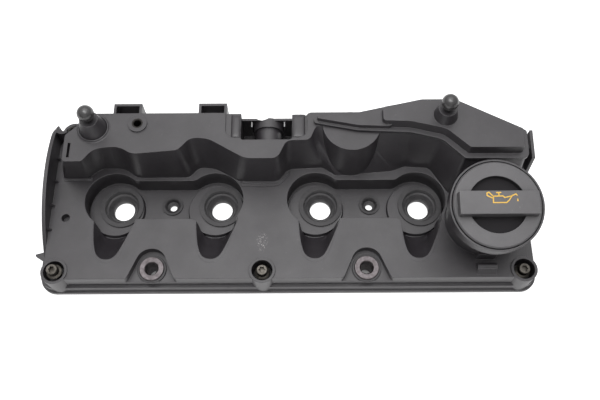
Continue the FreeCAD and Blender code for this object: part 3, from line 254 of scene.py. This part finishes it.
def ramp(tree, value, cut, to=(0.0, 1.0)):
    """The first of `to` up to the first of `cut`, the second from the second on, even between."""
    made = node(tree, "ShaderNodeMapRange", Value=value, From_Min=cut[0], From_Max=cut[1],
                To_Min=to[0], To_Max=to[1])
    made.clamp = True
    return made.outputs["Result"]


def millimetres(pair):
    return pair[0] * MM, pair[1] * MM


def blend_colour(tree, factor, first, second):
    """Mix a colour or a colour socket with a second colour."""
    made = tree.nodes.new("ShaderNodeMix")
    made.data_type = "RGBA"
    feed(tree, made.inputs[MIX_FACTOR], factor)
    feed(tree, made.inputs[MIX_FIRST], first + (1.0,) if isinstance(first, tuple) else first)
    feed(tree, made.inputs[MIX_SECOND], second + (1.0,))
    return made.outputs[MIX_RESULT]


def lightened(colour, times, blue_times):
    return colour[0] * times, colour[1] * times, colour[2] * blue_times


def noise(tree, scale, detail, roughness):
    made = node(tree, "ShaderNodeTexNoise", Vector=object_place(tree), Scale=scale, Detail=detail,
                Roughness=roughness)
    return made.outputs["Fac"]


def patches(tree, scale, detail, roughness, cut, to):
    """Noise cut to patches with soft borders."""
    return ramp(tree, noise(tree, scale, detail, roughness), cut, to)


def edge_normal(tree, radius):
    """Normals that turn round every edge with a radius in mm."""
    made = node(tree, "ShaderNodeBevel", Radius=radius * MM)
    made.samples = 4
    return made.outputs["Normal"]


def edge_mask(tree, rounded):
    """1 on edges, 0 on open faces, from how far the rounded normal leans."""
    true_normal = tree.nodes.new("ShaderNodeNewGeometry").outputs["True Normal"]
    return ramp(tree, vector_math(tree, "DOT_PRODUCT", rounded, true_normal), EDGE_LEAN)


def hollow_shade_mask(tree, reach):
    """1 deep in hollows, 0 on open faces: where the colour is darkened as painted shade."""
    made = node(tree, "ShaderNodeAmbientOcclusion", Distance=reach * MM)
    made.samples = 6
    return ramp(tree, made.outputs["AO"], HOLLOW_LIGHT, (1.0, 0.0))


def bump(tree, height, distance, rounded=None):
    """Normals of a relief `distance` mm high, over the rounded normals where they are given."""
    made = node(tree, "ShaderNodeBump", Height=height, Distance=distance * MM)
    if rounded is not None:
        feed(tree, made.inputs["Normal"], rounded)
    return made.outputs["Normal"]


def recess_shade_mask(tree):
    """1 on the floor and wall of the cap's round recess, 0 elsewhere: where the cap is darkened as painted
    shade.
    """
    axis = CAP_TURN @ Vector((0.0, 0.0, 1.0))
    from_cap = vector_math(tree, "SUBTRACT", object_place(tree), CAP_PLACE, "Vector")
    height = vector_math(tree, "DOT_PRODUCT", from_cap, axis)
    radius = vector_math(tree, "LENGTH", vector_math(tree, "CROSS_PRODUCT", from_cap, axis, "Vector"))
    below = ramp(tree, height, millimetres(RECESS_DEPTH), (1.0, 0.0))
    inside = ramp(tree, radius, millimetres(RECESS_R), (1.0, 0.0))
    return calculate(tree, "MULTIPLY", below, inside)


def scuff_mask(tree):
    """Small bright specks in the one scuffed patch of the lower deck, 0 elsewhere."""
    mapping = node(tree, "ShaderNodeMapping", Vector=object_place(tree))
    mapping.vector_type = "TEXTURE"
    mapping.inputs["Location"].default_value = in_part(*SCUFF_PLACE)
    mapping.inputs["Scale"].default_value = in_part(*SCUFF_SIZE)
    away = vector_math(tree, "LENGTH", mapping.outputs["Vector"])
    near = ramp(tree, away, (0.3, 1.0), (1.0, 0.0))
    specks = patches(tree, scale=950.0, detail=2.0, roughness=0.6, cut=(0.57, 0.64), to=(0.0, 1.0))
    return calculate(tree, "MULTIPLY", near, specks)


def coat(tree, out, tone, sheen, normal):
    """Feed the shader's colour, roughness and normal."""
    feed(tree, out.inputs["Base Color"], tone)
    feed(tree, out.inputs["Roughness"], sheen)
    feed(tree, out.inputs["Normal"], normal)


def grained_plastic(name, colour, dust, worn, rough, specular, grain, edge, hollow_shade_amount, reach,
                    recess_shade=None, scuffed=False):
    """Black moulded plastic: eroded grain, uneven sheen, dust, rubbed edges that also carry painted
    highlights, and painted shade in hollows.
    """
    material, tree, out = shader(name)
    rounded = edge_normal(tree, edge)
    fine = noise(tree, scale=1700.0, detail=3.0, roughness=0.65)
    cells = node(tree, "ShaderNodeTexVoronoi", Vector=object_place(tree), Scale=1250.0)
    grained = bump(tree, calculate(tree, "ADD", fine, cells.outputs["Distance"]), grain, rounded)
    flow = noise(tree, scale=55.0, detail=3.0, roughness=0.5)
    normal = bump(tree, flow, 0.10, grained)

    haze = patches(tree, scale=38.0, detail=6.0, roughness=0.68, cut=(0.42, 0.78), to=(0.0, 0.75))
    tone = blend_colour(tree, haze, colour, dust)
    specks = patches(tree, scale=520.0, detail=2.0, roughness=0.7, cut=(0.69, 0.78), to=(0.0, 0.5))
    tone = blend_colour(tree, specks, tone, lightened(dust, 2.2, 2.1))
    # rubbed edges: the lighter worn colour on edges is partly real wear and partly painted highlights
    rubbed = patches(tree, scale=90.0, detail=5.0, roughness=0.7, cut=(0.35, 0.65), to=(0.25, 1.0))
    edge_wear_and_highlight = calculate(tree, "MULTIPLY", edge_mask(tree, rounded), rubbed)
    tone = blend_colour(tree, edge_wear_and_highlight, tone, worn)
    # painted shade: hollows darkened by ambient occlusion
    painted_shade = calculate(tree, "MULTIPLY", hollow_shade_mask(tree, reach), hollow_shade_amount)
    tone = blend_colour(tree, painted_shade, tone, HOLLOW_SHADE_COLOUR)
    sheen = patches(tree, scale=24.0, detail=4.0, roughness=0.6, cut=SHEEN_CUT,
                    to=(rough - 0.05, rough + 0.07))
    if scuffed:
        tone = blend_colour(tree, scuff_mask(tree), tone, SCUFFED)
    # painted shade: the cap's recess darkened, with no sheen there
    if recess_shade:
        mask = recess_shade_mask(tree)
        tone = blend_colour(tree, mask, tone, recess_shade)
        sheen = calculate(tree, "MAXIMUM", sheen, mask)
    coat(tree, out, tone, sheen, normal)
    out.inputs["Specular IOR Level"].default_value = specular
    return material


def moulded_rubber(name, colour, rough):
    """Dull black rubber with a paler bloom."""
    material, tree, out = shader(name)
    fine = noise(tree, scale=2200.0, detail=2.0, roughness=0.6)
    normal = bump(tree, fine, 0.02, edge_normal(tree, 0.35))
    bloom = patches(tree, scale=120.0, detail=5.0, roughness=0.7, cut=(0.40, 0.75), to=(0.0, 0.6))
    tone = blend_colour(tree, bloom, colour, lightened(colour, 2.4, 2.3))
    sheen = patches(tree, scale=60.0, detail=3.0, roughness=0.6, cut=SHEEN_CUT,
                    to=(rough - 0.06, rough + 0.08))
    coat(tree, out, tone, sheen, normal)
    return material


def plated_steel(name, colour, stain, rough):
    """Plated steel: fine scratches, uneven tarnish and bright rubbed edges."""
    material, tree, out = shader(name)
    rounded = edge_normal(tree, 0.25)
    scratches = noise(tree, scale=900.0, detail=4.0, roughness=0.7)
    normal = bump(tree, scratches, 0.02, rounded)
    tarnish = patches(tree, scale=260.0, detail=5.0, roughness=0.7, cut=(0.40, 0.68), to=(0.0, 0.8))
    tone = blend_colour(tree, tarnish, colour, stain)
    tone = blend_colour(tree, edge_mask(tree, rounded), tone, lightened(colour, 1.5, 1.5))
    sheen = patches(tree, scale=180.0, detail=4.0, roughness=0.6, cut=SHEEN_CUT,
                    to=(rough - 0.08, rough + 0.12))
    coat(tree, out, tone, sheen, normal)
    out.inputs["Metallic"].default_value = 1.0
    return material


def print_ink(name, colour):
    """Printed ink, worn thin in small places."""
    material, tree, out = shader(name)
    normal = bump(tree, noise(tree, scale=2400.0, detail=2.0, roughness=0.6), 0.01)
    worn = patches(tree, scale=900.0, detail=4.0, roughness=0.7, cut=(0.62, 0.78), to=(0.0, 0.6))
    tone = blend_colour(tree, worn, colour, WORN_INK)
    sheen = patches(tree, scale=500.0, detail=3.0, roughness=0.6, cut=SHEEN_CUT, to=(0.42, 0.6))
    coat(tree, out, tone, sheen, normal)
    return material


def set_material(part, material):
    part.data.materials.clear()
    part.data.materials.append(material)


def in_part(x, y, z):
    """A place in mm as a place in the object."""
    return Vector((x, y, z)) * MM


def on_cap(x, y, z):
    """A place in the cap's own upright frame, in mm from its middle, as a place in the object."""
    return CAP_PLACE + CAP_TURN @ (Vector((x, y, z)) * MM)


def mesh_piece(name, built, material, body="cover", smooth=False):
    """A finished bmesh as an object of its own that rides on a body."""
    mesh = bpy.data.meshes.new(name)
    if smooth:
        for face in built.faces:
            face.smooth = True
    bmesh.ops.recalc_face_normals(built, faces=built.faces)
    built.to_mesh(mesh)
    built.free()
    mesh.materials.append(material)
    piece = bpy.data.objects.new(name, mesh)
    scene.collection.objects.link(piece)
    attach(piece, body)
    return piece


def skin(built, rings, closed=False):
    """Faces between equal rings of points; an open row of rings gets a face at each end."""
    count = len(rings[0])
    following = rings[1:] + rings[:1] if closed else rings[1:]
    for first, second in zip(rings, following):
        for k in range(count):
            after = (k + 1) % count
            built.faces.new((first[k], first[after], second[after], second[k]))
    if not closed:
        built.faces.new(rings[0])
        built.faces.new(list(reversed(rings[-1])))


def ribbon(built, path, width, place, low, high, closed=False):
    """A flat raised stroke along a plan path, with mitred corners."""
    points = [Vector(p) for p in path]
    count = len(points)
    rings = []
    for i, point in enumerate(points):
        along = []
        if closed or i > 0:
            along.append((point - points[i - 1]).normalized())
        if closed or i < count - 1:
            along.append((points[(i + 1) % count] - point).normalized())
        normals = [Vector((-d.y, d.x)) for d in along]
        middle = sum(normals, Vector((0.0, 0.0))).normalized()
        reach = width / 2.0 / max(middle.dot(normals[0]), MITRE_LIMIT)
        left = point + middle * reach
        right = point - middle * reach
        rings.append([built.verts.new(place(p.x, p.y, z))
                      for p, z in ((left, low), (left, high), (right, high), (right, low))])
    skin(built, rings, closed)


def rounded_path(corners):
    """Plan points of an open path through corners (x, y, radius), each inner corner an arc."""
    points = [Vector(corners[0][:2])]
    for i in range(1, len(corners) - 1):
        here = Vector(corners[i][:2])
        before = (Vector(corners[i - 1][:2]) - here).normalized()
        after = (Vector(corners[i + 1][:2]) - here).normalized()
        half = before.angle(after) / 2.0
        radius = corners[i][2]
        middle = here + (before + after).normalized() * (radius / math.sin(half))
        first = here + before * (radius / math.tan(half)) - middle
        last = here + after * (radius / math.tan(half)) - middle
        sweep = first.angle_signed(last)
        for k in range(ARC_STEPS + 1):
            turn = Matrix.Rotation(-sweep * k / ARC_STEPS, 2)
            points.append(middle + turn @ first)
    points.append(Vector(corners[-1][:2]))
    return points


def smooth_curve(points, count):
    """Evenly numbered plan points on a smooth curve through a few given ones."""
    given = [Vector(p) for p in points]
    last = len(given) - 1
    found = []
    for i in range(count):
        where = last * i / (count - 1)
        k = min(int(where), last - 1)
        t = where - k
        before = given[max(k - 1, 0)]
        start, end = given[k], given[k + 1]
        after = given[min(k + 2, last)]
        found.append(0.5 * (2.0 * start + (end - before) * t
                            + (2.0 * before - 5.0 * start + 4.0 * end - after) * t ** 2
                            + (3.0 * start - before - 3.0 * end + after) * t ** 3))
    return found


def foot_lips(material):
    """The low stepped lip on the deck along the foot of the raised wall, where no well cuts it."""
    built = bmesh.new()
    for width, low, high, path in LIP_STEPS:
        ribbon(built, rounded_path(path), width, in_part, DECK_TOP + low, DECK_TOP + high)
    mesh_piece("foot_lips", built, material)


def scoop_lining(name, x, material):
    """The round front of a scoop: a bowl that rises from the injector's boss to the deck."""
    edge = smooth_curve(SCOOP_EDGE, SCOOP_POINTS)
    foot = smooth_curve(SCOOP_FOOT, SCOOP_POINTS)
    built = bmesh.new()
    rings = []
    for i, (low, high) in enumerate(zip(foot, edge)):
        along = edge[min(i + 1, SCOOP_POINTS - 1)] - edge[max(i - 1, 0)]
        outward = Vector((along.y, -along.x)).normalized()
        near_tip = math.sin(math.pi * i / (SCOOP_POINTS - 1))
        border = high + outward * (SCOOP_BORDER + SCOOP_TIP_BORDER * near_tip ** 2)
        column = [(border, DECK_TOP - SCOOP_SUNK), (border, SCOOP_TOP)]
        for k in range(SCOOP_ROWS + 1):
            share = 1.0 - k / SCOOP_ROWS
            column.append((low.lerp(high, share), SCOOP_LOW + (SCOOP_TOP - SCOOP_LOW) * share ** SCOOP_BEND))
        column.append((low, SCOOP_UNDER))
        rings.append([built.verts.new(in_part(x + plan.x, plan.y, z)) for plan, z in column])
    skin(built, rings)
    piece = mesh_piece(name, built, material, smooth=True)
    piece.data.set_sharp_from_angle(angle=SCOOP_SHARP)


def notch_shoulder(name, left, right, material):
    """A crowned bead along one side of the notch, with rounded ends."""
    length = SHOULDER_BACK - SHOULDER_FRONT
    full = SHOULDER_END_ROWS[-1]
    places = [*SHOULDER_END_ROWS, length / 2.0, *(length - a for a in reversed(SHOULDER_END_ROWS))]
    built = bmesh.new()
    rings = []
    for place in places:
        end = min(place, length - place)
        swell = math.sqrt(max(0.0, 1.0 - (1.0 - min(end / full, 1.0)) ** 2))
        ring = []
        for k in range(SHOULDER_SIDES + 1):
            angle = math.pi * k / SHOULDER_SIDES
            x = (left + right) / 2.0 - (right - left) / 2.0 * math.cos(angle)
            z = SHOULDER_FOOT
            if 0 < k < SHOULDER_SIDES:
                z += SHOULDER_CROWN * math.sin(angle) ** 0.8 * (0.25 + 0.75 * swell)
            ring.append(built.verts.new(in_part(x, SHOULDER_FRONT + place, z)))
        rings.append(ring)
    skin(built, rings)
    mesh_piece(name, built, material, smooth=True)


def tower_foot(name, material):
    """The flared foot of a stud tower, turned about its axis."""
    inner = TOWER_R - TOWER_OVERLAP
    under = UPPER_TOP - TOWER_SUNK
    profile = [(inner, under), (inner, UPPER_TOP + TOWER_FLARE)]
    for k in range(FLARE_STEPS + 1):
        angle = math.pi / 2.0 * k / FLARE_STEPS
        profile.append((TOWER_R + TOWER_FLARE * (1.0 - math.cos(angle)),
                        UPPER_TOP + TOWER_FLARE * (1.0 - math.sin(angle)) + TOWER_EDGE))
    profile.append((TOWER_R + TOWER_FLARE + TOWER_SKIRT, under))
    built = bmesh.new()
    rings = []
    for k in range(TOWER_STEPS):
        angle = 2.0 * math.pi * k / TOWER_STEPS
        x, y = TOWER_PLACE
        rings.append([built.verts.new(in_part(x + r * math.cos(angle), y + r * math.sin(angle), z))
                      for r, z in profile])
    skin(built, rings, closed=True)
    mesh_piece(name, built, material, smooth=True)


def valve_coil(material):
    """The spring under the valve's plate: a coil of wire in the place of the part's own spring, which is
    hidden.
    """
    low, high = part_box("valve_spring")
    middle = ((low[0] + high[0]) / 2.0, (low[1] + high[1]) / 2.0)
    wire = SPRING_WIRE_R * MM
    radius = (high[0] - low[0]) / 2.0 - wire
    rise = high[2] - low[2] - 2.0 * wire
    steps = COIL_STEPS * SPRING_TURNS
    built = bmesh.new()
    rings = []
    for i in range(steps + 1):
        turn = 2.0 * math.pi * SPRING_TURNS * i / steps
        outward = Vector((math.cos(turn), math.sin(turn), 0.0))
        centre = Vector((middle[0], middle[1], low[2] + wire + rise * i / steps)) + outward * radius
        ring = []
        for k in range(WIRE_SIDES):
            around = 2.0 * math.pi * k / WIRE_SIDES
            up = Vector((0.0, 0.0, wire * math.sin(around)))
            ring.append(built.verts.new(centre + outward * (wire * math.cos(around)) + up))
        rings.append(ring)
    skin(built, rings)
    for face in built.faces:
        face.smooth = len(face.verts) == 4
    piece = mesh_piece("valve_coil", built, material)
    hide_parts("valve_spring")
    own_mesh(piece)


def oil_can_sign(material):
    """The generic oil can sign, printed on the grip."""
    built = bmesh.new()
    low = GRIP_HEIGHT - SIGN_SUNK
    high = GRIP_HEIGHT + SIGN_PROUD
    for width, closed, path in SIGN_STROKES:
        ribbon(built, path, width, on_cap, low, high, closed)
    skin(built, [[built.verts.new(on_cap(x, y, z)) for x, y in SIGN_DROP] for z in (low, high)])
    mesh_piece("oil_can_sign", built, material, body="filler_cap")


def make_floor():
    """A light floor that glows to the camera and in reflections, but not under the large sleeves, where a
    painted shadow takes its glow away.
    """
    built = bmesh.new()
    corners = ((-FLOOR_HALF, -FLOOR_HALF), (FLOOR_HALF, -FLOOR_HALF),
               (FLOOR_HALF, FLOOR_HALF), (-FLOOR_HALF, FLOOR_HALF))
    built.faces.new([built.verts.new((x, y, FLOOR_Z)) for x, y in corners])
    mesh = bpy.data.meshes.new("floor")
    built.to_mesh(mesh)
    built.free()
    floor = bpy.data.objects.new("floor", mesh)
    scene.collection.objects.link(floor)

    material, tree, out = shader("white_floor")
    out.inputs["Base Color"].default_value = FLOOR_COLOUR
    out.inputs["Roughness"].default_value = 0.9
    out.inputs["Specular IOR Level"].default_value = 0.0
    path = tree.nodes.new("ShaderNodeLightPath")
    seen = calculate(tree, "MAXIMUM", path.outputs["Is Camera Ray"], path.outputs["Is Glossy Ray"])
    strength = calculate(tree, "MULTIPLY", seen, FLOOR_GLOW)
    for x, y in SLEEVE_SHADOWS:
        away = vector_math(tree, "DISTANCE", object_place(tree), (x * MM, y * MM, FLOOR_Z))
        lit = ramp(tree, away, millimetres((SLEEVE_SHADOW_R, SLEEVE_SHADOW_R + SLEEVE_SHADOW_SOFT)))
        strength = calculate(tree, "MULTIPLY", strength, lit)
    glow = node(tree, "ShaderNodeEmission", Strength=strength)
    total = tree.nodes.new("ShaderNodeAddShader")
    feed(tree, total.inputs[0], out.outputs[0])
    feed(tree, total.inputs[1], glow.outputs[0])
    feed(tree, tree.nodes["Material Output"].inputs["Surface"], total.outputs[0])
    mesh.materials.append(material)


def make_world():
    """White to the camera; soft light for other rays, a little stronger in reflections."""
    world = bpy.data.worlds.new("studio")
    scene.world = world
    world.use_nodes = True
    tree = world.node_tree
    path = tree.nodes.new("ShaderNodeLightPath")
    direction = tree.nodes.new("ShaderNodeTexCoord").outputs["Generated"]
    sky = ramp(tree, vector_math(tree, "DOT_PRODUCT", direction, SKY_UP), SKY_SLOPE, (SKY_DARKEST, 1.0))
    clear = calculate(tree, "MAXIMUM", path.outputs["Is Glossy Ray"], path.outputs["Is Transmission Ray"])
    level = ramp(tree, clear, (0.0, 1.0), (SKY_DIFFUSE, SKY_GLOSSY))
    soft = calculate(tree, "MULTIPLY", sky, level)
    background = tree.nodes["Background"]
    background.inputs["Color"].default_value = (1.0, 1.0, 1.0, 1.0)
    feed(tree, background.inputs["Strength"], calculate(tree, "MAXIMUM", path.outputs["Is Camera Ray"], soft))


make_camera()
make_floor()
make_world()
for lamp in LAMPS:
    area_light(*lamp)

# on these plastics the darkening of hollows is painted shade, and the worn colour on edges is partly wear and
# partly painted highlights
plastic = grained_plastic(
    "moulded_plastic", colour=(0.0255, 0.0222, 0.0262), dust=(0.048, 0.0435, 0.049), worn=(0.16, 0.155, 0.165),
    rough=0.44, specular=0.8, grain=0.035, edge=0.8, hollow_shade_amount=0.22, reach=7.0, scuffed=True)
# the cap's recess colour is painted shade
cap_plastic = grained_plastic(
    "cap_plastic", colour=(0.100, 0.096, 0.101), dust=(0.138, 0.133, 0.140), worn=(0.26, 0.255, 0.265),
    rough=0.46, specular=0.7, grain=0.02, edge=0.6, hollow_shade_amount=1.0, reach=9.0, recess_shade=(0.020, 0.018, 0.0205))
rubber = moulded_rubber("black_rubber", colour=(0.045, 0.043, 0.046), rough=0.55)
zinc = plated_steel("zinc_steel", colour=(0.155, 0.140, 0.146), stain=(0.05, 0.043, 0.042), rough=0.42)
bolt_steel = plated_steel("bolt_steel", colour=(0.135, 0.125, 0.112), stain=(0.022, 0.019, 0.015), rough=0.44)
stud = grained_plastic(
    "stud_plastic", colour=(0.040, 0.038, 0.039), dust=(0.060, 0.057, 0.058), worn=(0.16, 0.155, 0.165),
    rough=0.26, specular=0.8, grain=0.008, edge=0.3, hollow_shade_amount=0.75, reach=16.0)
spring = plated_steel("spring_steel", colour=(0.25, 0.25, 0.26), stain=(0.15, 0.145, 0.14), rough=0.3)
dark_steel = plated_steel("dark_steel", colour=(0.045, 0.043, 0.041), stain=(0.020, 0.019, 0.018), rough=0.55)
dark_insert = plated_steel("dark_insert", colour=(0.045, 0.042, 0.040), stain=(0.030, 0.028, 0.027), rough=0.5)
ink = print_ink("sign_ink", colour=(1.0, 0.62, 0.10))

by_slot = {"moulded_plastic": plastic, "cap_plastic": cap_plastic, "black_rubber": rubber, "zinc_steel": zinc,
           "bolt_steel": bolt_steel, "stud_plastic": stud, "spring_steel": spring}
for part in nodes.values():
    slots = [s.material.name.split(".")[0] for s in part.material_slots if s.material]
    set_material(part, by_slot.get(slots[0] if slots else "", plastic))

# the insert and the guessed back bolts are dark; nothing bright shows at the back in the photograph
set_material(nodes["threaded_insert"], dark_insert)
for side in ("left", "middle", "right"):
    set_material(nodes["bolt_sleeve_back_" + side], dark_steel)
    set_material(nodes["captive_bolt_back_" + side], dark_steel)

oil_can_sign(ink)
valve_coil(spring)
foot_lips(plastic)
for number in range(4):
    scoop_lining("scoop_lining_%d" % (number + 1), WELL_PITCH * number, plastic)
notch_shoulder("notch_shoulder_left", 100.2, 108.4, plastic)
notch_shoulder("notch_shoulder_right", 151.6, 162.8, plastic)
tower_foot("tower_foot_left", plastic)
